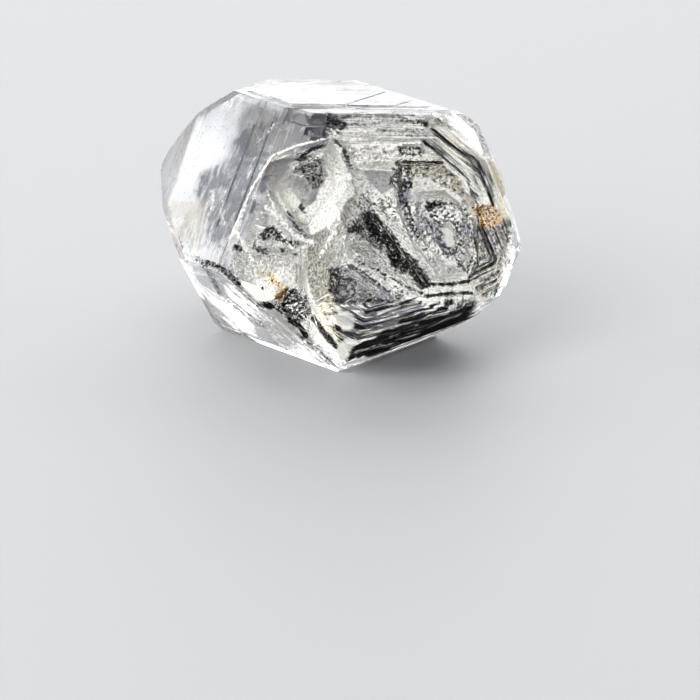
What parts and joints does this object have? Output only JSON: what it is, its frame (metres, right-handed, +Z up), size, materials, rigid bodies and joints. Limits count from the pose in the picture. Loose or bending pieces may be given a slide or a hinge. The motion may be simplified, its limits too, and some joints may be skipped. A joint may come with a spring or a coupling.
{
  "type": "herkimer diamond",
  "caption": "Short, clear quartz crystal pointed at both ends, lying on a prism face, with growth ledges and sunken skeletal windows on its big end face.",
  "frame": {"origin": "on the ground, under the middle of the crystal's bounding box", "axes": "+X along the crystal's long axis, towards the end with the skeletal face; +Z up, away from the prism face it lies on; +Y completes the right-handed set"},
  "size_m": [0.0208, 0.0132, 0.0121],
  "materials": {
    "quartz": "clear natural quartz with bright faces, fine striations, cloudy veils and small rust-coloured iron stains"
  },
  "bodies": {
    "root": {"crystal": "quartz"}
  },
  "joints": []
}
